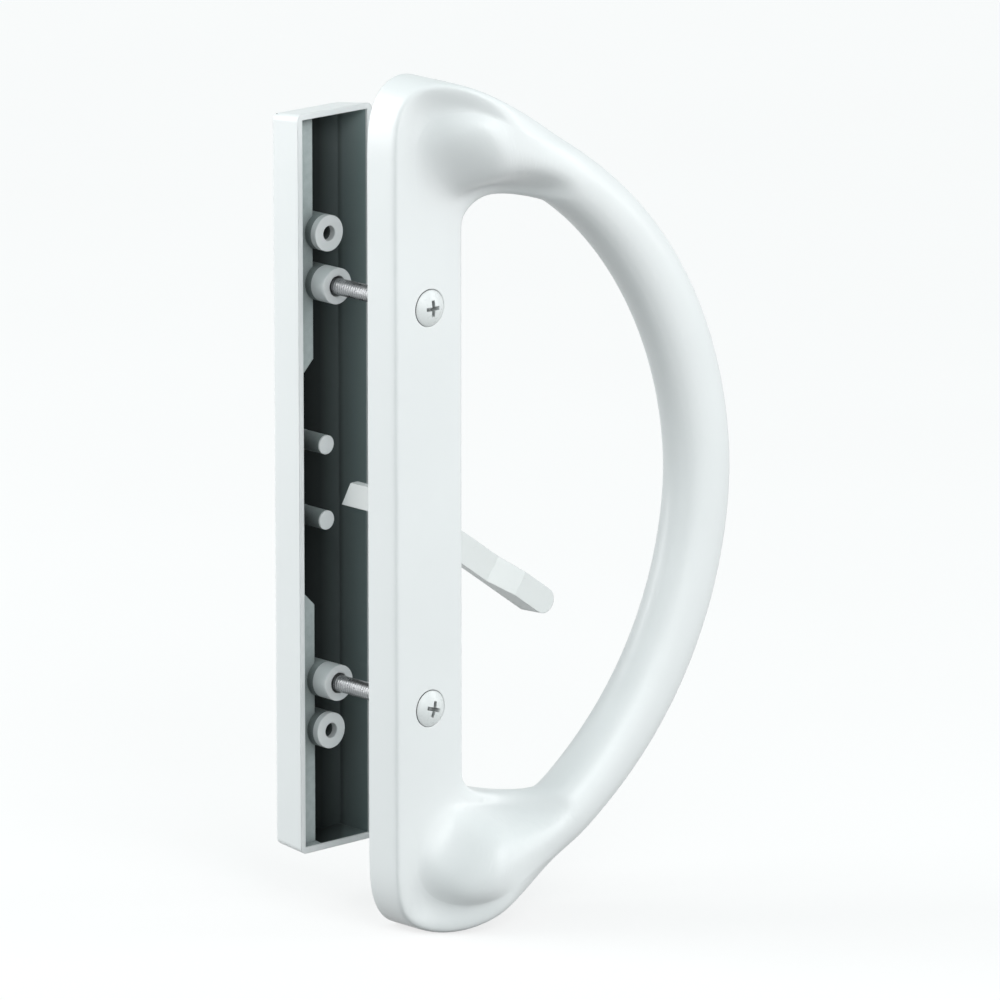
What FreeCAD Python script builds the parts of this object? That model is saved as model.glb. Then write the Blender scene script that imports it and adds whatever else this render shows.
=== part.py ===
import FreeCAD, Part
import math
import os

# Sliding patio door handle set: an inside face plate with a D bow, an outside pull,
# the two long screws that clamp a door between them, and the thumb latch lever.
# X runs across the door towards the bow, -Y towards the room, Z up.
# The origin is on the door's inner face, midway between the two mounting screws.

# Face plate of the inside handle
plate_width = 22.2
plate_length = 212.4
plate_depth = 10.1
plate_edge = (2.4, 0.0)
sharp_edge = (1.2, 0.0)
plate_wall = 2.2
plate_front_wall = 2.6
plate_overlap = 2.0
rib_offset = 17.0
rib_thickness = 1.6
rib_drop = 2.2

# Bow of the inside handle
bow_reach = 78.3
bow_drop = 15.9
bow_squareness = 1.87
bow_apex_half_width = 8.3
bow_apex_half_depth = 7.4
bow_shoulder_half_width = 7.2
bow_shoulder_half_depth = 8.4
bow_apex_stand_off = 22.0
bow_shoulder_stand_off = 20.0
bow_start_reach = 35.0
section_squareness = 2.3
section_points = 16

# Root of the bow, a rounded nose that rises from the plate with hollow flanks
nose_top = 26.0
full_section_width = 24.0
nose_inner_flank = 4.0
nose_outer_flank = 3.0
inner_foot_first = 6.2
inner_foot_last = 2.8
outer_foot_first = 9.0
outer_foot_last = 7.0
nose_outer_edge = (6.0, 0.15)
opening_corner_stretch = 1.75
root_foot_angle = 25.0
root_crest_angle = 54.0
valley_from = -8.0
valley_to = 10.0
arm_leave_angle = 66.0
root_end_angle = 85.0

# How far the control points stand out beyond the plate's round end and the root's top line
end_swell = 0.75
shoulder_swell = 1.0

# Number of sections along each stretch of the casting, and of points round the plate's end
plate_steps = 3
corner_lead = 1.5
corner_steps = 13
bow_steps = 10
end_points = 24

# Mounting screws and the bosses that they pass
screw_spacing = 100.0
screw_radius = 2.08
screw_clearance = 0.05
screw_length = 44.5
screw_head_radius = 4.5
screw_head_dome = 1.5
screw_cone_depth = 2.6
head_clearance = 0.25
screw_tip_room = 0.6
lower_recess_turn = 17.0
plate_screw_hole_radius = 2.5
plate_boss_radius = 5.0
recess_arm = 2.3
recess_width = 1.0
recess_depth = 1.6
recess_taper = 0.5

# Outside pull
door_gap = 27.4
pull_left = 9.0
pull_right = 15.2
pull_length = 186.2
pull_depth = 10.0
pull_wall = 1.5
pull_right_slope = 2.5
pull_end_taper = 1.0
pull_edge_round = 1.6
screw_boss_radius = 4.5
screw_boss_proud = 4.2
screw_boss_mouth_radius = 2.6
screw_boss_mouth_depth = 3.0
spare_spacing = 125.4
spare_boss_radius = 4.5
spare_boss_proud = 1.2
spare_hole_radius = 1.9
spare_hole_depth = 8.0
pin_radius = 2.4
pin_spacing = 19.0
pin_proud = -0.1
pad_right = -2.0
pad_drop = 2.6
pad_inner_end = 28.0
pad_chamfer = 3.0

# Thumb lever with its tail
lever_pivot_height = -2.4
lever_droop = 35.2
lever_swing = 70.0
lever_length = 50.8
lever_back = 2.9
lever_blade_depth = 2.6
lever_width = 7.2
lever_front_width = 6.4
lever_ramp_start = 30.5
lever_ramp_end = 37.5
lever_paddle_depth = 6.4
hub_radius = 7.5
hub_depth = 3.0
stub_radius = 3.5
stub_depth = 1.9
stub_clearance = 0.08
neck_radius = 4.5
neck_proud = 0.2
tail_height = 6.0
tail_thickness = 2.4
tail_top_reach = 17.4
tail_bottom_reach = 20.6
tail_rise = 1.3
hub_ring_wall = 2.2
running_gap = 0.3
slot_clearance = 0.8

# Strap that keeps the lever in the plate
strap_thickness = 1.0
strap_width = 15.0
strap_screw_spacing = 27.0
strap_end_radius = 4.2
small_screw_radius = 1.4
small_screw_clearance = 0.03
strap_hole_clearance = 0.1
small_screw_length = 5.0
small_head_radius = 2.5
small_head_height = 1.0
small_slot_width = 0.7
small_slot_depth = 0.6
small_tip_room = 0.4
small_boss_radius = 3.4
washer_inner_radius = 4.9
washer_outer_radius = 7.0
washer_thickness = 0.35
washer_play = 0.25

# Shared small values: how far joined forms overlap, and a margin for picking edges
overlap = 0.5
hair = 0.01

half_width = plate_width / 2
end_centre = plate_length / 2 - half_width
bow_half_height = plate_length / 2 - bow_drop
screw_half = screw_spacing / 2
cavity_floor = plate_depth - plate_front_wall


def at(across, out, up):
    """A point given by its distance across the door, out into the room, and up."""
    return FreeCAD.Vector(across, -out, up)


def ease(value):
    """A smooth step from 0 to 1."""
    t = min(max(value, 0.0), 1.0)
    return t * t * (3 - 2 * t)


def mix(start, end, share):
    return start + (end - start) * share


def post(across, up, radius, out_from, out_to):
    """A round bar square to the door."""
    return Part.makeCylinder(radius, out_to - out_from, at(across, out_from, up), FreeCAD.Vector(0, -1, 0))


def block(across_from, across_to, out_from, out_to, up_from, up_to):
    corner = at(across_from, out_to, up_from)
    return Part.makeBox(across_to - across_from, out_to - out_from, up_to - up_from, corner)


def flat_outline(points, out):
    """A closed straight sided face parallel to the door, from (across, up) points."""
    corners = [at(across, out, up) for across, up in points]
    return Part.Face(Part.makePolygon(corners + corners[:1]))


def stadium(half_span, radius, out_from, out_to):
    """A bar with full round ends, standing upright."""
    sides = block(-radius, radius, out_from, out_to, -half_span, half_span)
    top = post(0, half_span, radius, out_from, out_to)
    bottom = post(0, -half_span, radius, out_from, out_to)
    return sides.fuse([top, bottom]).removeSplitter()


def corner_poles(distance, out, inward, level, edge, side_first):
    """Three control points that round one corner of a section."""
    reach, fullness = edge
    pull_in = reach * fullness
    on_side = (distance, out + level * reach)
    at_corner = (distance + inward * pull_in, out + level * pull_in)
    on_level = (distance + inward * reach, out)
    return [on_side, at_corner, on_level] if side_first else [on_level, at_corner, on_side]


def cast_section(width, back, top, feet, outer_ledge, outer_edge):
    """Sixteen points round the plate: square sides, a ledge each side and a nose between."""
    shrink = min(1, width / full_section_width)
    inner_foot, outer_foot = feet
    nose_start = shrink * (inner_foot + nose_inner_flank)
    nose_end = width - shrink * (outer_foot + nose_outer_flank)
    edge = (shrink * outer_edge[0], outer_edge[1])
    points = corner_poles(0, back, 1, 1, sharp_edge, False)
    points += corner_poles(0, plate_depth, 1, -1, plate_edge, True)
    points.append((shrink * inner_foot, plate_depth))
    points.append((nose_start, top))
    points.append((nose_end, top))
    points.append((width - shrink * outer_foot, outer_ledge))
    points += corner_poles(width, outer_ledge, -1, -1, edge, False)
    points += corner_poles(width, back, -1, 1, sharp_edge, True)
    return points


def tube_section(width, back, front):
    """The same number of points round the bow's oval, in the same order as the plate's."""
    points = []
    step = 2 * math.pi / section_points
    swell = 3 / (2 + math.cos(step))
    for index in range(section_points):
        turn = 1.5 * math.pi - step * (index + 0.5)
        side = math.copysign(abs(math.cos(turn)) ** (2 / section_squareness), math.cos(turn))
        level = math.copysign(abs(math.sin(turn)) ** (2 / section_squareness), math.sin(turn))
        along = width / 2 * (1 + swell * side)
        points.append((along, (back + front) / 2 + swell * (front - back) / 2 * level))
    return points


def mix_points(first, second, share):
    """Points part of the way from one section to another."""
    return [(mix(a[0], b[0], share), mix(a[1], b[1], share)) for a, b in zip(first, second)]


def place_section(inner, outer, points):
    """Stands a section's points on the line from the inner to the outer outline."""
    span = (outer[0] - inner[0], outer[1] - inner[1])
    width = math.hypot(span[0], span[1])
    run = (span[0] / width, span[1] / width)
    return [at(inner[0] + run[0] * along, out, inner[1] + run[1] * along) for along, out in points]


def smooth_ring(stations):
    """A closed solid ring whose control points are the sections' own."""
    rows = [place_section(inner, outer, points) for inner, outer, points in stations]
    around = len(rows[0])
    along = len(rows)
    poles = [[row[turn] for row in rows] for turn in range(around)]
    surface = Part.BSplineSurface()
    surface.buildFromPolesMultsKnots(
        poles, [1] * (around + 1), [1] * (along + 1),
        list(range(around + 1)), list(range(along + 1)), True, True, 3, 3)
    faces = []
    half_around = around // 2
    half_along = along // 2
    for u_from, u_to in ((0, half_around), (half_around, around)):
        for v_from, v_to in ((0, half_along), (half_along, along)):
            patch = surface.copy()
            patch.segment(u_from, u_to, v_from, v_to)
            faces.append(patch.toShape())
    shell = Part.Shell(faces)
    shell.sewShape()
    solid = Part.Solid(shell)
    if solid.Volume < 0:
        solid.reverse()
    return solid


def bow_point(across):
    """Height and direction of the bow's centre line at a distance across."""
    share = (across / bow_reach) ** bow_squareness
    up = bow_half_height * (1 - share) ** (1 / bow_squareness)
    if up < 1e-6:
        return 0.0, (0.0, -1.0)
    slope = -(up / across) * share / (1 - share)
    size = math.hypot(1, slope)
    return up, (1 / size, slope / size)


def end_outline(target):
    """Points up the plate's far side, round its end and along the root's top to the bow."""
    centre_up = end_centre + end_swell
    points = [(-half_width, 0), (-half_width, centre_up)]
    offset = (target[0], target[1] - centre_up)
    distance = math.hypot(offset[0], offset[1])
    leave = math.atan2(offset[1], offset[0]) + math.acos(half_width / distance)
    for step in range(1, end_points + 1):
        turn = math.pi - (math.pi - leave) * step / end_points
        points.append((half_width * math.cos(turn), centre_up + half_width * math.sin(turn)))
    run = (target[0] - points[-1][0], target[1] - points[-1][1])
    size = math.hypot(run[0], run[1])
    crown = (-run[1] / size * shoulder_swell, run[0] / size * shoulder_swell)
    points.append((target[0] - run[0] / 2 + crown[0], target[1] - run[1] / 2 + crown[1]))
    points.append(target)
    points.append((target[0] + run[0], target[1] + run[1]))
    return points


def outline_hit(start, ray, outline):
    """Where a line across the section first meets the outer outline."""
    best = None
    for first, second in zip(outline, outline[1:]):
        run = (second[0] - first[0], second[1] - first[1])
        across = first[0] - start[0]
        up = first[1] - start[1]
        turn = ray[0] * run[1] - ray[1] * run[0]
        if turn == 0:
            continue
        reach = (across * run[1] - up * run[0]) / turn
        share = (across * ray[1] - up * ray[0]) / turn
        if reach > 0 and 0 <= share <= 1 and (best is None or reach < best):
            best = reach
    return start[0] + best * ray[0], start[1] + best * ray[1]


def plate_stations(length):
    """Sections up the straight plate, from the middle."""
    stations = []
    for step in range(plate_steps):
        up = (step + 0.5) * length / plate_steps
        feet = (inner_foot_first, outer_foot_first)
        points = cast_section(plate_width, -plate_overlap, plate_depth, feet, plate_depth, plate_edge)
        stations.append(((half_width, up), (-half_width, up), points))
    return stations


def root_section(width, turn, last_turn, outer_across):
    """The casting's section where the plate turns into the bow."""
    climb = ease((turn - root_foot_angle) / (root_crest_angle - root_foot_angle))
    narrow = ease((turn - root_foot_angle) / (root_end_angle - root_foot_angle))
    rise = ease((outer_across - valley_from) / (valley_to - valley_from))
    arm = ease((turn - arm_leave_angle) / (last_turn - arm_leave_angle))
    top = mix(plate_depth, nose_top, climb)
    inner_foot = mix(inner_foot_first, inner_foot_last, narrow)
    outer_foot = mix(outer_foot_first, outer_foot_last, rise)
    outer_edge = (mix(plate_edge[0], nose_outer_edge[0], rise), mix(plate_edge[1], nose_outer_edge[1], rise))
    ledge = mix(plate_depth, top, rise)
    shoulder_back = bow_shoulder_stand_off - bow_shoulder_half_depth
    shoulder_front = bow_shoulder_stand_off + bow_shoulder_half_depth
    back = mix(-plate_overlap, shoulder_back, arm)
    cast = cast_section(width, back, top, (inner_foot, outer_foot), ledge, outer_edge)
    return mix_points(cast, tube_section(width, back, shoulder_front), arm)


def root_stations(stretch_across, stretch_up, centre, outline, last_angle):
    """Sections round the opening's corner, from the plate to the start of the bow."""
    stations = []
    last_turn = 180 - math.degrees(last_angle)
    for step in range(corner_steps):
        turn = last_turn * step / corner_steps
        angle = math.radians(180 - turn)
        inner = (centre[0] + stretch_across * math.cos(angle), centre[1] + stretch_up * math.sin(angle))
        ray = (math.cos(angle) / stretch_across, math.sin(angle) / stretch_up)
        outer = outline_hit(inner, ray, outline)
        width = math.hypot(outer[0] - inner[0], outer[1] - inner[1])
        stations.append((inner, outer, root_section(width, turn, last_turn, outer[0])))
    return stations


def bow_stations():
    """Sections along the bow, from its start to its apex."""
    stations = []
    first = math.acos((bow_start_reach / bow_reach) ** (bow_squareness / 2))
    for step in range(bow_steps + 1):
        turn = first * (1 - step / bow_steps)
        across = bow_reach * math.cos(turn) ** (2 / bow_squareness)
        up, run = bow_point(across)
        normal = (-run[1], run[0])
        rise = ease((across - bow_start_reach) / (bow_reach - bow_start_reach))
        middle = mix(bow_shoulder_stand_off, bow_apex_stand_off, rise)
        half = mix(bow_shoulder_half_width, bow_apex_half_width, rise)
        deep = mix(bow_shoulder_half_depth, bow_apex_half_depth, rise)
        inner = (across - normal[0] * half, up - normal[1] * half)
        outer = (across + normal[0] * half, up + normal[1] * half)
        stations.append((inner, outer, tube_section(2 * half, middle - deep, middle + deep)))
    return stations


def upper_stations():
    """Sections up the plate, round the opening's corner and along the bow to its apex."""
    start_up, start_run = bow_point(bow_start_reach)
    normal = (-start_run[1], start_run[0])
    half = bow_shoulder_half_width
    arm_outside = (bow_start_reach + normal[0] * half, start_up + normal[1] * half)
    arm_inside = (bow_start_reach - normal[0] * half, start_up - normal[1] * half)
    last_angle = math.atan2(normal[1], normal[0] * opening_corner_stretch)
    stretch_across = (arm_inside[0] - half_width) / (1 + math.cos(last_angle))
    stretch_up = stretch_across / opening_corner_stretch
    centre = (half_width + stretch_across, arm_inside[1] - stretch_up * math.sin(last_angle))
    outline = end_outline(arm_outside)
    stations = plate_stations(centre[1] - corner_lead)
    stations += root_stations(stretch_across, stretch_up, centre, outline, last_angle)
    return stations + bow_stations()


def mirrored(station):
    inner, outer, points = station
    return (inner[0], -inner[1]), (outer[0], -outer[1]), points


def handle_ring():
    """Face plate and D bow as one closed ring, with its back trimmed flat."""
    upper = upper_stations()
    lower = [mirrored(station) for station in reversed(upper[:-1])]
    whole = smooth_ring(upper + lower)
    reach = 2 * plate_length
    return whole.cut(block(-reach, reach, -reach, 0, -reach, reach))


def plate_cavity():
    """Hollow in the plate's back, open to the door."""
    return stadium(end_centre, half_width - plate_wall, -plate_overlap, cavity_floor)


def screw_seats():
    """Through holes with conical seats for the two mounting screws."""
    cuts = []
    for side in (1, -1):
        up = side * screw_half
        cuts.append(post(0, up, plate_screw_hole_radius, -plate_overlap, plate_depth + plate_overlap))
        seat_depth = screw_cone_depth + running_gap / 2
        cone = Part.makeCone(
            plate_screw_hole_radius, screw_head_radius + head_clearance, seat_depth,
            at(0, plate_depth - seat_depth, up), FreeCAD.Vector(0, -1, 0))
        cuts.append(cone)
    return cuts


def lever_slot():
    """Gap in the plate's side that the lever swings through."""
    half_turn = math.radians(lever_swing / 2)
    rest = math.radians(lever_droop)
    top_turn = 2 * half_turn - rest
    spread = lever_width / 2 + slot_clearance
    reach = half_width
    low = lever_pivot_height - reach * math.tan(rest) - spread / math.cos(rest)
    high = lever_pivot_height + reach * math.tan(top_turn) + spread / math.cos(top_turn)
    inner = half_width - plate_wall - plate_overlap
    top = lever_back + lever_blade_depth + slot_clearance
    return block(inner, half_width + plate_overlap, -plate_overlap, top, low, high)


def inside_handle():
    handle = handle_ring().cut(plate_cavity())
    root = cavity_floor + overlap
    hub_floor = lever_back + hub_depth + running_gap
    ring = post(0, lever_pivot_height, stub_radius + hub_ring_wall, hub_floor, root)
    strap_seat = strap_screw_seat()
    bosses = []
    ribs = []
    rib_side = half_width - plate_wall + overlap
    rib_half = rib_thickness / 2
    for side in (1, -1):
        bosses.append(post(0, side * screw_half, plate_boss_radius, 0, root))
        up = lever_pivot_height + side * strap_screw_spacing / 2
        bosses.append(post(0, up, small_boss_radius, strap_seat, root))
        for offset in (rib_offset, -rib_offset):
            up = side * screw_half + offset
            ribs.append(block(-rib_side, rib_side, rib_drop, root, up - rib_half, up + rib_half))
    handle = handle.fuse(bosses + ribs + [ring])
    cuts = screw_seats()
    cuts.append(lever_slot())
    stub_room = hub_floor + stub_depth + running_gap
    cuts.append(post(0, lever_pivot_height, stub_radius + stub_clearance, hub_floor - overlap, stub_room))
    for side in (1, -1):
        up = lever_pivot_height + side * strap_screw_spacing / 2
        hole_radius = small_screw_radius + small_screw_clearance
        hole_end = strap_seat + small_screw_length
        cuts.append(post(0, up, hole_radius, strap_seat - overlap, hole_end))
    return handle.cut(cuts).removeSplitter()


def strap_screw_seat():
    """Level of the bosses that the strap is screwed to."""
    return lever_back - running_gap - washer_thickness - washer_play


def mounting_screw(side):
    """Oval head machine screw, upright cross recess, shank into the outside pull."""
    up = side * screw_half
    top = plate_depth
    cone = Part.makeCone(
        screw_radius, screw_head_radius, screw_cone_depth,
        at(0, top - screw_cone_depth, up), FreeCAD.Vector(0, -1, 0))
    sphere_radius = (screw_head_radius ** 2 + screw_head_dome ** 2) / (2 * screw_head_dome)
    dome = Part.makeSphere(sphere_radius, at(0, top + screw_head_dome - sphere_radius, up))
    cap = post(0, up, screw_head_radius, top, top + screw_head_dome).common(dome)
    shank = post(0, up, screw_radius, top - screw_length, top - screw_cone_depth + overlap)
    screw = shank.fuse([cone, cap]).removeSplitter()
    peak = top + screw_head_dome
    recess = cross_recess(up, peak)
    if side < 0:
        recess.rotate(at(0, 0, up), FreeCAD.Vector(0, 1, 0), lower_recess_turn)
    return screw.cut(recess)


def cross_recess(up, peak):
    """Tapered cross for the driver."""
    arms = []
    for upright in (True, False):
        wide = recess_width / 2
        levels = []
        for share, out in ((recess_taper, peak - recess_depth), (1.0, peak + hair)):
            arm = recess_arm * share
            side = wide * share
            outline = [(-side, -arm), (side, -arm), (side, arm), (-side, arm)]
            if not upright:
                outline = [(across, high) for high, across in outline]
            levels.append(flat_outline([(across, up + high) for across, high in outline], out).OuterWire)
        arms.append(Part.makeLoft(levels, True, True))
    return arms[0].fuse(arms[1])


def pull_profile(inset, floor_out, rim_out):
    """Corners of the pull's section as (across, out), inset by a wall."""
    slope = pull_right_slope * (rim_out - floor_out) / pull_depth
    left = -pull_left + inset
    right = pull_right - inset
    return left, right, right - slope


def pull_solid(inset, rim_out, face_out):
    """Shallow box between the rim plane and the outer face, one side sloped."""
    left, right, right_low = pull_profile(inset, face_out, rim_out)
    half = pull_length / 2 - inset
    low_half = half - pull_end_taper
    rim = flat_outline([(left, -half), (right, -half), (right, half), (left, half)], rim_out)
    narrow = [(left, -low_half), (right_low, -low_half), (right_low, low_half), (left, low_half)]
    face = flat_outline(narrow, face_out)
    return Part.makeLoft([face.OuterWire, rim.OuterWire], True, True)


def outside_pull():
    """Shallow channel with cast bosses, pads and two locating pins."""
    rim = -door_gap
    face = rim - pull_depth
    floor = face + pull_wall
    shell = pull_solid(0, rim, face)
    outer_edges = [edge for edge in shell.Edges if edge.BoundBox.YMax > -face - hair]
    shell = shell.makeFillet(pull_edge_round, outer_edges)
    hollow = pull_solid(pull_wall, rim, floor)
    shell = shell.cut(hollow)
    keep = pull_solid(pull_wall / 2, rim, face + pull_wall / 2)
    pads = []
    for side in (1, -1):
        low = pad_inner_end
        high = pull_length / 2 - pull_wall / 2
        left = -pull_left + pull_wall / 2
        outline = [
            (left, side * low),
            (pad_right - pad_chamfer, side * low),
            (pad_right, side * (low + pad_chamfer)),
            (pad_right, side * high),
            (left, side * high),
        ]
        pad = flat_outline(outline, floor - overlap).extrude(at(0, rim - pad_drop - floor + overlap, 0))
        pads.append(pad.common(keep))
    bosses = []
    for side in (1, -1):
        root = floor - overlap
        bosses.append(post(0, side * screw_half, screw_boss_radius, root, rim + screw_boss_proud))
        bosses.append(post(0, side * spare_spacing / 2, spare_boss_radius, root, rim + spare_boss_proud))
        bosses.append(post(0, side * pin_spacing / 2, pin_radius, root, rim + pin_proud))
    body = shell.fuse(pads + bosses)
    holes = []
    for side in (1, -1):
        mouth = rim + screw_boss_proud
        up = side * screw_half
        tip = plate_depth - screw_length
        past = mouth + overlap
        holes.append(post(0, up, screw_radius + screw_clearance, tip - screw_tip_room, past))
        holes.append(post(0, up, screw_boss_mouth_radius, mouth - screw_boss_mouth_depth, past))
        spare = rim + spare_boss_proud
        spare_up = side * spare_spacing / 2
        holes.append(post(0, spare_up, spare_hole_radius, spare - spare_hole_depth, spare + overlap))
    return body.cut(holes).removeSplitter()


def tapered_bar():
    """The lever's arm seen square on: drafted sides and a round tip."""
    levels = []
    for width, out in ((lever_width, lever_back), (lever_front_width, lever_back + lever_paddle_depth)):
        half = width / 2
        end = lever_length - half - (lever_width - width) / 4
        edges = [
            Part.LineSegment(at(0, out, -half), at(end, out, -half)).toShape(),
            Part.Arc(at(end, out, -half), at(end + half, out, 0), at(end, out, half)).toShape(),
            Part.LineSegment(at(end, out, half), at(0, out, half)).toShape(),
            Part.LineSegment(at(0, out, half), at(0, out, -half)).toShape(),
        ]
        levels.append(Part.Wire(edges))
    return Part.makeLoft(levels, True, True)


def arm_side_view():
    """Thin blade, ramp and thick thumb paddle, seen from the lever's edge."""
    thin = lever_back + lever_blade_depth
    thick = lever_back + lever_paddle_depth
    corners = [
        (0, lever_back), (lever_length, lever_back), (lever_length, thick),
        (lever_ramp_end, thick), (lever_ramp_start, thin), (0, thin),
    ]
    points = [at(along, out, -lever_width) for along, out in corners]
    face = Part.Face(Part.makePolygon(points + points[:1]))
    return face.extrude(at(0, 0, 2 * lever_width))


def thumb_lever():
    """Lever, hub, pivot stub and tail, cast as one piece."""
    arm = tapered_bar().common(arm_side_view())
    hub_top = lever_back + hub_depth
    hub = post(0, 0, hub_radius, lever_back, hub_top)
    stub = post(0, 0, stub_radius, hub_top - overlap, hub_top + running_gap + stub_depth)
    neck_end = strap_screw_seat() - strap_thickness - neck_proud
    neck = post(0, 0, neck_radius, neck_end, lever_back + overlap)
    body = arm.fuse([hub, stub, neck]).removeSplitter()
    body.rotate(FreeCAD.Vector(0, 0, 0), FreeCAD.Vector(0, 1, 0), lever_droop)
    high = tail_rise + tail_height / 2
    low = tail_rise - tail_height / 2
    side = [(lever_back, high), (-tail_top_reach, high), (-tail_bottom_reach, low), (lever_back, low)]
    points = [at(-tail_thickness / 2, out, up) for out, up in side]
    tail = Part.Face(Part.makePolygon(points + points[:1])).extrude(at(tail_thickness, 0, 0))
    body = body.fuse(tail).removeSplitter()
    body.translate(at(0, 0, lever_pivot_height))
    return body


def lever_strap():
    """Flat steel strap over the hub, with a hole for its neck."""
    seat = strap_screw_seat()
    half_span = strap_screw_spacing / 2
    back = seat - strap_thickness
    middle = post(0, 0, strap_width / 2, back, seat)
    bar = block(-strap_end_radius, strap_end_radius, back, seat, -half_span, half_span)
    ends = [post(0, side * half_span, strap_end_radius, back, seat) for side in (1, -1)]
    strap = middle.fuse([bar] + ends)
    cuts = [post(0, 0, neck_radius + running_gap, back - overlap, seat + overlap)]
    for side in (1, -1):
        hole_radius = small_screw_radius + strap_hole_clearance
        cuts.append(post(0, side * half_span, hole_radius, back - overlap, seat + overlap))
    strap = strap.cut(cuts).removeSplitter()
    strap.translate(at(0, 0, lever_pivot_height))
    return strap


def strap_screw(side):
    """Small slotted screw that holds one end of the strap."""
    up = lever_pivot_height + side * strap_screw_spacing / 2
    seat = strap_screw_seat() - strap_thickness
    top = seat - small_head_height
    head = post(0, up, small_head_radius, top, seat)
    tip = strap_screw_seat() + small_screw_length - small_tip_room
    shank = post(0, up, small_screw_radius, seat - overlap, tip)
    screw = head.fuse(shank).removeSplitter()
    reach = 2 * small_head_radius
    half = small_slot_width / 2
    slot = block(-half, half, top - overlap, top + small_slot_depth, up - reach, up + reach)
    return screw.cut(slot)


def spring_washer():
    """Thin washer between the hub and the strap."""
    seat = strap_screw_seat()
    ring = post(0, lever_pivot_height, washer_outer_radius, seat, seat + washer_thickness)
    hole = post(0, lever_pivot_height, washer_inner_radius, seat - overlap, seat + overlap)
    return ring.cut(hole)


def build():
    os.makedirs("parts", exist_ok=True)
    pieces = {
        "inside_handle": inside_handle(),
        "outside_pull": outside_pull(),
        "upper_mounting_screw": mounting_screw(1),
        "lower_mounting_screw": mounting_screw(-1),
        "thumb_lever": thumb_lever(),
        "lever_strap": lever_strap(),
        "upper_strap_screw": strap_screw(1),
        "lower_strap_screw": strap_screw(-1),
        "lever_spring_washer": spring_washer(),
    }
    for name, shape in pieces.items():
        shape.exportStep("parts/" + name + ".step")
        print(name, shape.isValid(), len(shape.Solids), round(shape.Volume, 1), len(shape.Faces))
    return pieces


build()
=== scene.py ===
import bpy
import math
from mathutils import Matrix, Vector


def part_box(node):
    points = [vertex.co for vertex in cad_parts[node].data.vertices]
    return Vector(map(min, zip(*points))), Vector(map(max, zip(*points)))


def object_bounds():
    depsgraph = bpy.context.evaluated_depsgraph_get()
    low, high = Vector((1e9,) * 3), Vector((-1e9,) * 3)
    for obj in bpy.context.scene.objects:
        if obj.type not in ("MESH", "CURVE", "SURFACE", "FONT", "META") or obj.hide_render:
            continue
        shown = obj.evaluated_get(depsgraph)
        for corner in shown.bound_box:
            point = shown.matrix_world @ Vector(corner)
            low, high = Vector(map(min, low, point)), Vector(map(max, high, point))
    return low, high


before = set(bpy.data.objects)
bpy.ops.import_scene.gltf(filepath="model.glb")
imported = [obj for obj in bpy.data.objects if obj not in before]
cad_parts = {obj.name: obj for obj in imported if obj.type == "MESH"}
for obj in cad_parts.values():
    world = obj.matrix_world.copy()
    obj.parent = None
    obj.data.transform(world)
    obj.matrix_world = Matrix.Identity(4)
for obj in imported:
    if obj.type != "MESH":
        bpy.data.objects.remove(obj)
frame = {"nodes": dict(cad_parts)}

# Studio picture of a white sliding door handle set.
# The set stands upright on a pale floor, with its inside face plate towards the camera.

# Camera: angles in degrees, sizes in metres, lens in millimetres
CAMERA_AZIMUTH = -42.85
CAMERA_ELEVATION = 13.79
CAMERA_DISTANCE = 2.425
CAMERA_AIM = (0.03248, 0.0, -0.0049)
CAMERA_LENS = 355.6
CAMERA_CLIP = 50.0
SENSOR_WIDTH = 36.0

# Lamps: place as azimuth, elevation and distance from the aim, with size and power
LAMPS = {
    "front": {"azimuth": -15, "elevation": 35, "distance": 1.0, "size": (0.6, 0.6), "power": 4.6},
    "beside_camera": {"azimuth": -43, "elevation": 30, "distance": 1.2, "size": (0.7, 0.7), "power": 1.2},
    "right": {"azimuth": 50, "elevation": 20, "distance": 1.2, "size": (0.4, 0.9), "power": 3.4},
    "back_left": {"azimuth": -137, "elevation": 20, "distance": 1.0, "size": (0.5, 0.9), "power": 8.0},
    "low_front": {"azimuth": 0, "elevation": 6, "distance": 1.0, "size": (0.9, 0.3), "power": 1.6},
}
AMBIENT = 0.35
AMBIENT_COLOUR = (0.74, 0.99, 0.99)
FLOOR_SIZE = 12.0
FLOOR_TONE = 0.24
FLOOR_DRIFT = 0.04
FLOOR_LIFT_NEAR = 0.74
FLOOR_LIFT_FAR = 0.93
FLOOR_LIFT_REACH = 2.5

# Hollow of the outside pull, in metres in the part's frame
PULL_RIM = 0.0274
PULL_EDGE = 0.0279
PULL_FLOOR = 0.0359
PULL_INSIDE_END = 0.0364
PULL_LEFT_INSIDE = -0.0082
PULL_RIGHT_INSIDE = 0.01445
PULL_RIGHT_SLOPE = 0.25
PULL_END_INSIDE = 0.0921
PULL_BOSSES = ((0.05, 0.0046), (0.0627, 0.0046), (0.0095, 0.0025))
PULL_PAD_RIGHT = -0.0019
PULL_PAD_INNER_END = 0.0279
PULL_PAD_LEVEL = 0.0302

# Painted shade in the pull's hollow, black by the left wall and grey up the right wall: where it starts
# and ends, its tones by share of the way, and the share of black that lies over them at the bottom and at
# the top
HOLLOW_SHADE_START = -0.0005
HOLLOW_SHADE_END = 0.0229
HOLLOW_SHADE_STOPS = ((0.25, 0.03), (0.54, 0.15), (0.6, 0.25))
HOLLOW_SHADE_BLACK = (0.004, 0.006, 0.006)
HOLLOW_SHADE_GREY = (0.36, 0.44, 0.44)
HOLLOW_SHADE_DROP_BOTTOM = 0.45
HOLLOW_SHADE_DROP_TOP = 0.0

# White paint: tones, roughness, clear coat and how softly it rounds an edge
CASTING_WHITE = (0.855, 0.86, 0.865)
# The lever's white is darker than the casting's: painted shade.
LEVER_SHADED_WHITE = (0.78, 0.79, 0.785)
PAINT_ROUGHNESS = 0.42
COAT_WEIGHT = 0.2
COAT_ROUGHNESS = 0.2
PAINTED_EDGE = 0.0004

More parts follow.
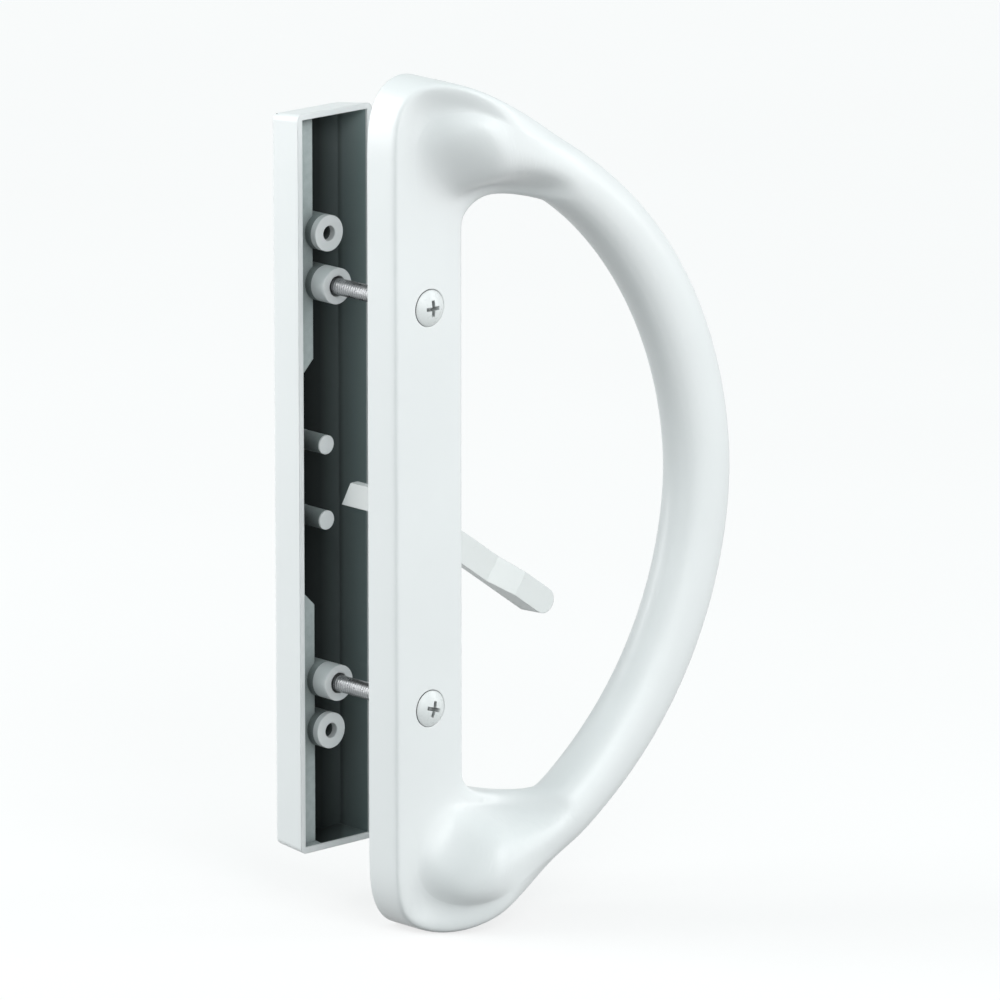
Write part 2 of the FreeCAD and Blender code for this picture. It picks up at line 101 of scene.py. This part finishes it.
# Screws: pitch of the thread, height of the head's dome, and how far behind the plate's
# front the head's paint reaches
THREAD_PITCH = 0.0008
SCREW_HEAD_DOME = 0.0015
SCREW_HEAD_DEPTH = 0.0029

# The part of a noise texture's range that it mostly fills
NOISE_LOW = 0.3
NOISE_HIGH = 0.7

# Colour sockets of a Mix node
MIX_COLOURS = (6, 7)
MIX_RESULT = 2


def node_tree(name):
    """A new material, its node tree and its Principled shader."""
    material = bpy.data.materials.new(name)
    material.use_nodes = True
    tree = material.node_tree
    shader = tree.nodes["Principled BSDF"]
    return material, tree, shader


def add(tree, kind, **settings):
    node = tree.nodes.new("ShaderNode" + kind)
    for key, value in settings.items():
        setattr(node, key, value)
    return node


def math_node(tree, operation, first, second=None):
    """A Math node whose inputs are sockets or plain numbers."""
    node = add(tree, "Math", operation=operation)
    for slot, value in enumerate((first, second)):
        if value is None:
            continue
        if isinstance(value, (int, float)):
            node.inputs[slot].default_value = value
        else:
            tree.links.new(value, node.inputs[slot])
    return node.outputs[0]


def noise(tree, scale, detail=3.0, roughness=0.5, stretch=(1, 1, 1)):
    """Noise in object space, as a value socket; scale is in lumps per metre."""
    coordinates = add(tree, "TexCoord")
    mapping = add(tree, "Mapping")
    mapping.inputs["Scale"].default_value = stretch
    texture = add(tree, "TexNoise")
    texture.inputs["Scale"].default_value = scale
    texture.inputs["Detail"].default_value = detail
    texture.inputs["Roughness"].default_value = roughness
    tree.links.new(coordinates.outputs["Object"], mapping.inputs["Vector"])
    tree.links.new(mapping.outputs["Vector"], texture.inputs["Vector"])
    return texture.outputs["Fac"]


def spread(tree, value, low, high):
    """Maps a noise value to a range."""
    node = add(tree, "MapRange")
    node.inputs["From Min"].default_value = NOISE_LOW
    node.inputs["From Max"].default_value = NOISE_HIGH
    node.inputs["To Min"].default_value = low
    node.inputs["To Max"].default_value = high
    tree.links.new(value, node.inputs["Value"])
    return node.outputs["Result"]


def blend_colours(tree, share, first, second):
    """Mixes two colours, each a socket or a plain (r, g, b)."""
    node = add(tree, "Mix", data_type="RGBA")
    if isinstance(share, (int, float)):
        node.inputs["Factor"].default_value = share
    else:
        tree.links.new(share, node.inputs["Factor"])
    for slot, colour in zip(MIX_COLOURS, (first, second)):
        if isinstance(colour, tuple):
            node.inputs[slot].default_value = colour + (1.0,)
        else:
            tree.links.new(colour, node.inputs[slot])
    return node.outputs[MIX_RESULT]


def crevice(tree, distance, contrast):
    """How open a point is: 1 in the open, towards 0 deep in corners."""
    node = add(tree, "AmbientOcclusion", samples=8)
    node.inputs["Distance"].default_value = distance
    return math_node(tree, "POWER", node.outputs["AO"], contrast)


def bump(tree, shader, layers, bevel):
    """Chains height sockets into one normal, over softly rounded edges."""
    edge = add(tree, "Bevel", samples=6)
    edge.inputs["Radius"].default_value = bevel
    normal = edge.outputs["Normal"]
    for height, strength, depth in layers:
        node = add(tree, "Bump")
        node.inputs["Strength"].default_value = strength
        node.inputs["Distance"].default_value = depth
        tree.links.new(height, node.inputs["Height"])
        tree.links.new(normal, node.inputs["Normal"])
        normal = node.outputs["Normal"]
    tree.links.new(normal, shader.inputs["Normal"])


def white_paint(tree, shader, tone):
    """Powder coat: tone drift, painted shade in the corners, and an uneven roughness."""
    lighter = tuple(channel * 1.008 for channel in tone)
    darker = tuple(channel * 0.985 for channel in tone)
    drift = blend_colours(tree, spread(tree, noise(tree, 38), 0.0, 1.0), darker, lighter)
    # Painted shade: the white darkens to 70 per cent deep in corners.
    painted_crevice_shade = tuple(channel * 0.7 for channel in tone)
    colour = blend_colours(tree, crevice(tree, 0.004, 0.8), painted_crevice_shade, drift)
    sheen = spread(tree, noise(tree, 90, 2.0), PAINT_ROUGHNESS - 0.03, PAINT_ROUGHNESS + 0.04)
    tree.links.new(sheen, shader.inputs["Roughness"])
    return colour


def orange_peel(tree):
    """Bump layers of the powder coat: low lumps about 2 mm wide and a fine grain."""
    return [(noise(tree, 520, 2.0), 0.2, 0.00002), (noise(tree, 2600, 3.0), 0.2, 0.000006)]


def white_casting():
    """Glossy white powder coat on a die casting."""
    material, tree, shader = node_tree("white_casting")
    colour = white_paint(tree, shader, CASTING_WHITE)
    tree.links.new(colour, shader.inputs["Base Color"])
    shader.inputs["Coat Weight"].default_value = COAT_WEIGHT
    shader.inputs["Coat Roughness"].default_value = COAT_ROUGHNESS
    waves = (noise(tree, 60, 1.0), 0.2, 0.0002)
    bump(tree, shader, [waves] + orange_peel(tree), PAINTED_EDGE)
    return material


def position(tree):
    """The part's own coordinates as three value sockets."""
    coordinates = add(tree, "TexCoord")
    split = add(tree, "SeparateXYZ")
    tree.links.new(coordinates.outputs["Object"], split.inputs["Vector"])
    return split.outputs


def all_of(tree, limits):
    """Multiplies yes or no sockets together."""
    share = limits[0]
    for limit in limits[1:]:
        share = math_node(tree, "MULTIPLY", share, limit)
    return share


def inside_pull(tree, across, through, height):
    """1 within the pull's hollow, below its rim."""
    below_rim = math_node(tree, "SUBTRACT", through, PULL_RIM)
    slope = math_node(tree, "MULTIPLY", below_rim, PULL_RIGHT_SLOPE)
    return all_of(tree, [
        math_node(tree, "GREATER_THAN", across, PULL_LEFT_INSIDE),
        math_node(tree, "LESS_THAN", math_node(tree, "ADD", across, slope), PULL_RIGHT_INSIDE),
        math_node(tree, "LESS_THAN", height, PULL_END_INSIDE),
        math_node(tree, "GREATER_THAN", through, PULL_EDGE),
        math_node(tree, "LESS_THAN", through, PULL_INSIDE_END),
    ])


def raised_in_pull(tree, across, through, height):
    """1 on the bosses, pins and pads that stand up in the pull."""
    raised = all_of(tree, [
        math_node(tree, "LESS_THAN", across, PULL_PAD_RIGHT),
        math_node(tree, "GREATER_THAN", height, PULL_PAD_INNER_END),
        math_node(tree, "LESS_THAN", through, PULL_PAD_LEVEL),
    ])
    for centre, radius in PULL_BOSSES:
        off = math_node(tree, "SUBTRACT", height, centre)
        rise = math_node(tree, "MULTIPLY", off, off)
        square = math_node(tree, "ADD", rise, math_node(tree, "MULTIPLY", across, across))
        on_boss = math_node(tree, "LESS_THAN", square, radius ** 2)
        raised = math_node(tree, "MAXIMUM", raised, on_boss)
    return raised


def painted_hollow_shade(tree, across, through, up):
    """Painted shade in the hollow: black deep at the left, grey up the right wall, darker towards the
    bottom.
    """
    from_rim = math_node(tree, "SUBTRACT", PULL_FLOOR, through)
    reach = add(tree, "MapRange")
    reach.inputs["From Min"].default_value = HOLLOW_SHADE_START
    reach.inputs["From Max"].default_value = HOLLOW_SHADE_END
    tree.links.new(math_node(tree, "ADD", across, from_rim), reach.inputs["Value"])
    ramp = add(tree, "ValToRGB")
    stops = ramp.color_ramp.elements
    stops[0].color = HOLLOW_SHADE_BLACK + (1,)
    stops[1].color = HOLLOW_SHADE_GREY + (1,)
    for place, tone in HOLLOW_SHADE_STOPS:
        stops.new(place).color = (tone * 0.85, tone, tone, 1)
    tree.links.new(reach.outputs["Result"], ramp.inputs["Fac"])
    drop = add(tree, "MapRange")
    drop.inputs["From Min"].default_value = -PULL_END_INSIDE
    drop.inputs["From Max"].default_value = PULL_END_INSIDE
    drop.inputs["To Min"].default_value = HOLLOW_SHADE_DROP_BOTTOM
    drop.inputs["To Max"].default_value = HOLLOW_SHADE_DROP_TOP
    tree.links.new(up, drop.inputs["Value"])
    return blend_colours(tree, drop.outputs["Result"], ramp.outputs["Color"], HOLLOW_SHADE_BLACK)


def pull_casting():
    """White outside; in the hollow, bare grey bosses and pads with painted shade at their roots, and
    painted shade over the walls and floor.
    """
    material, tree, shader = node_tree("pull_casting")
    across, through, up = position(tree)
    height = math_node(tree, "ABSOLUTE", up)
    inside = inside_pull(tree, across, through, height)
    raised = raised_in_pull(tree, across, through, height)
    paint = white_paint(tree, shader, CASTING_WHITE)
    grain = spread(tree, noise(tree, 500, 5.0), 0.0, 1.0)
    bare = blend_colours(tree, grain, (0.46, 0.51, 0.51), (0.54, 0.59, 0.59))
    # Painted shade: the bare grey darkens nearly to black at the roots of the bosses, pins and pads.
    bare = blend_colours(tree, crevice(tree, 0.012, 1.0), (0.05, 0.06, 0.06), bare)
    # Painted shade over the hollow's walls and floor.
    dark = painted_hollow_shade(tree, across, through, up)
    inner = blend_colours(tree, raised, dark, bare)
    tree.links.new(blend_colours(tree, inside, paint, inner), shader.inputs["Base Color"])
    gloss = math_node(tree, "SUBTRACT", 1.0, inside)
    tree.links.new(math_node(tree, "MULTIPLY", gloss, COAT_WEIGHT), shader.inputs["Coat Weight"])
    reflection = math_node(tree, "MULTIPLY", math_node(tree, "ADD", gloss, 0.12), 0.45)
    tree.links.new(reflection, shader.inputs["Specular IOR Level"])
    shader.inputs["Coat Roughness"].default_value = COAT_ROUGHNESS
    bump(tree, shader, orange_peel(tree), PAINTED_EDGE)
    return material


def white_lever():
    """Satin white coat, a little duller and more worn than the casting, its white darker than the
    casting's as painted shade.
    """
    material, tree, shader = node_tree("white_lever")
    colour = white_paint(tree, shader, LEVER_SHADED_WHITE)
    scuffs = math_node(tree, "GREATER_THAN", noise(tree, 900, 4.0, 0.6, (0.25, 1, 1)), 0.66)
    rubbed = math_node(tree, "MULTIPLY", scuffs, 0.12)
    worn = blend_colours(tree, rubbed, colour, (0.5, 0.51, 0.5))
    tree.links.new(worn, shader.inputs["Base Color"])
    shader.inputs["Coat Weight"].default_value = COAT_WEIGHT
    shader.inputs["Coat Roughness"].default_value = 0.25
    layers = [(noise(tree, 420, 3.0), 0.3, 0.00005), (noise(tree, 2400), 0.25, 0.00001)]
    bump(tree, shader, layers, 0.0003)
    return material


def zinc_plate(name, tone, shine):
    """Bright zinc plating with rolling streaks and cloudy tone."""
    material, tree, shader = node_tree(name)
    cloud = spread(tree, noise(tree, 220, 4.0), 0.0, 1.0)
    cool = tuple(channel * 0.86 for channel in tone)
    colour = blend_colours(tree, cloud, cool, tone)
    # Painted shade: the plating darkens to 35 per cent deep in corners.
    painted_crevice_shade = tuple(channel * 0.35 for channel in tone)
    shaded_plating = blend_colours(tree, crevice(tree, 0.002, 1.0), painted_crevice_shade, colour)
    tree.links.new(shaded_plating, shader.inputs["Base Color"])
    shader.inputs["Metallic"].default_value = 1.0
    streaks = noise(tree, 700, 4.0, 0.6, (1.0, 1.0, 0.08))
    tree.links.new(spread(tree, streaks, shine - 0.08, shine + 0.12), shader.inputs["Roughness"])
    bump(tree, shader, [(streaks, 0.15, 0.00002), (noise(tree, 3000), 0.15, 0.000006)], 0.00015)
    return material


def screw_steel(name, centre, plate_front):
    """Plated shank with a rolled thread, under a head painted white."""
    material, tree, shader = node_tree(name)
    across, out, up = position(tree)
    high = math_node(tree, "SUBTRACT", up, centre)
    turn = math_node(tree, "ARCTAN2", high, across)
    turns = math_node(tree, "DIVIDE", turn, 2 * math.pi)
    along = math_node(tree, "DIVIDE", out, THREAD_PITCH)
    phase = math_node(tree, "FRACT", math_node(tree, "ADD", along, turns))
    ridge = math_node(tree, "PINGPONG", phase, 0.5)
    painted = math_node(tree, "LESS_THAN", out, plate_front + SCREW_HEAD_DEPTH)
    thread = math_node(tree, "MULTIPLY", ridge, math_node(tree, "SUBTRACT", 1.0, painted))
    # Painted shade: the head's white darkens towards dark grey deep in the cross recess and where the
    # head meets the plate.
    open_share = crevice(tree, 0.0014, 1.6)
    paint = blend_colours(tree, open_share, (0.16, 0.17, 0.17), (0.8, 0.81, 0.81))
    cloud = spread(tree, noise(tree, 500, 4.0), 0.0, 1.0)
    metal = blend_colours(tree, cloud, (0.52, 0.54, 0.55), (0.72, 0.73, 0.73))
    # Painted shade: the thread's grooves are darker than its crests.
    groove = blend_colours(tree, spread(tree, ridge, 0.0, 1.0), (0.34, 0.35, 0.36), metal)
    tree.links.new(blend_colours(tree, painted, groove, paint), shader.inputs["Base Color"])
    tree.links.new(math_node(tree, "SUBTRACT", 1.0, painted), shader.inputs["Metallic"])
    tree.links.new(spread(tree, noise(tree, 900, 3.0), 0.24, 0.36), shader.inputs["Roughness"])
    bump(tree, shader, [(thread, 0.6, 0.0003), (noise(tree, 2200), 0.2, 0.00001)], 0.0002)
    return material


def spring_steel():
    """Dark blued strip with an oily, uneven sheen."""
    material, tree, shader = node_tree("spring_steel")
    cloud = spread(tree, noise(tree, 300, 4.0), 0.0, 1.0)
    colour = blend_colours(tree, cloud, (0.20, 0.21, 0.24), (0.34, 0.34, 0.35))
    tree.links.new(colour, shader.inputs["Base Color"])
    shader.inputs["Metallic"].default_value = 1.0
    tree.links.new(spread(tree, noise(tree, 800), 0.25, 0.45), shader.inputs["Roughness"])
    bump(tree, shader, [(noise(tree, 1500, 3.0), 0.2, 0.00001)], 0.0001)
    return material


def seen_directly(tree):
    """1 for the camera and for what gloss and clear parts show, 0 for the light on things."""
    path = add(tree, "LightPath")
    share = path.outputs["Is Camera Ray"]
    for ray in ("Is Glossy Ray", "Is Transmission Ray"):
        share = math_node(tree, "MAXIMUM", share, path.outputs[ray])
    return share


def floor_material():
    """Pale floor: plain diffuse for light, lifted towards white where the camera sees it."""
    material, tree, shader = node_tree("pale_floor")
    low = FLOOR_TONE * (1 - FLOOR_DRIFT)
    high = FLOOR_TONE * (1 + FLOOR_DRIFT)
    tone = blend_colours(tree, noise(tree, 9, 2.0), (low, low, low), (high, high, high))
    tree.links.new(tone, shader.inputs["Base Color"])
    shader.inputs["Roughness"].default_value = 0.9
    shader.inputs["Specular IOR Level"].default_value = 0.1
    shader.inputs["Emission Color"].default_value = (1, 1, 1, 1)
    coordinates = add(tree, "TexCoord")
    away = add(tree, "VectorMath", operation="LENGTH")
    tree.links.new(coordinates.outputs["Object"], away.inputs[0])
    glow = add(tree, "MapRange")
    glow.inputs["From Max"].default_value = FLOOR_LIFT_REACH
    glow.inputs["To Min"].default_value = FLOOR_LIFT_NEAR
    glow.inputs["To Max"].default_value = FLOOR_LIFT_FAR
    tree.links.new(away.outputs["Value"], glow.inputs["Value"])
    lift = math_node(tree, "MULTIPLY", seen_directly(tree), glow.outputs["Result"])
    tree.links.new(lift, shader.inputs["Emission Strength"])
    bump(tree, shader, [(noise(tree, 300), 0.05, 0.0002)], 0.0001)
    return material


def direction(azimuth, elevation):
    """Unit vector from the aim, in the same angles as the camera's."""
    turn = math.radians(azimuth)
    rise = math.radians(elevation)
    level = math.cos(rise)
    return Vector((math.sin(turn) * level, -math.cos(turn) * level, math.sin(rise)))


def look_at(thing, place, aim):
    thing.location = place
    thing.rotation_euler = (aim - place).to_track_quat("-Z", "Y").to_euler()


def make_camera(aim):
    data = bpy.data.cameras.new("camera")
    data.lens = CAMERA_LENS
    data.sensor_width = SENSOR_WIDTH
    data.clip_end = CAMERA_CLIP
    camera = bpy.data.objects.new("camera", data)
    bpy.context.collection.objects.link(camera)
    look_at(camera, aim + direction(CAMERA_AZIMUTH, CAMERA_ELEVATION) * CAMERA_DISTANCE, aim)
    bpy.context.scene.camera = camera


def make_lamps(aim):
    for name, lamp in LAMPS.items():
        data = bpy.data.lights.new(name, "AREA")
        data.shape = "RECTANGLE"
        data.size, data.size_y = lamp["size"]
        data.energy = lamp["power"]
        thing = bpy.data.objects.new(name, data)
        bpy.context.collection.objects.link(thing)
        look_at(thing, aim + direction(lamp["azimuth"], lamp["elevation"]) * lamp["distance"], aim)


def make_world():
    """White to the camera, dim and cool to everything else."""
    world = bpy.data.worlds.new("studio")
    world.use_nodes = True
    bpy.context.scene.world = world
    tree = world.node_tree
    background = tree.nodes["Background"]
    direct = seen_directly(tree)
    colour = blend_colours(tree, direct, AMBIENT_COLOUR, (1.0, 1.0, 1.0))
    tree.links.new(colour, background.inputs["Color"])
    strength = add(tree, "MapRange")
    strength.inputs["To Min"].default_value = AMBIENT
    strength.inputs["To Max"].default_value = 1.0
    tree.links.new(direct, strength.inputs["Value"])
    tree.links.new(strength.outputs["Result"], background.inputs["Strength"])


def make_floor(level):
    bpy.ops.mesh.primitive_plane_add(size=FLOOR_SIZE, location=(0, 0, level))
    floor = bpy.context.object
    floor.name = "floor"
    floor.data.materials.append(floor_material())


def dress(frame, materials):
    """Gives each CAD node its finish."""
    for name, material in materials.items():
        node = frame["nodes"][name]
        node.data.materials.clear()
        node.data.materials.append(material)


def node_finishes():
    casting = white_casting()
    zinc = zinc_plate("zinc_plated_steel", (0.66, 0.68, 0.70), 0.32)
    finishes = {
        "inside_handle": casting,
        "outside_pull": pull_casting(),
        "thumb_lever": white_lever(),
        "lever_strap": zinc,
        "upper_strap_screw": zinc,
        "lower_strap_screw": zinc,
        "lever_spring_washer": spring_steel(),
    }
    for side in ("upper", "lower"):
        name = side + "_mounting_screw"
        low, high = (Vector(corner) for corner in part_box(name))
        plate_front = low.y + SCREW_HEAD_DOME
        finishes[name] = screw_steel(side + "_screw_steel", (low.z + high.z) / 2, plate_front)
    return finishes


def main():
    cad_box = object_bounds()
    dress(frame, node_finishes())
    aim = Vector(CAMERA_AIM)
    make_camera(aim)
    make_lamps(aim)
    make_world()
    make_floor(Vector(cad_box[0]).z)
    bpy.context.scene.view_settings.view_transform = "Standard"


main()
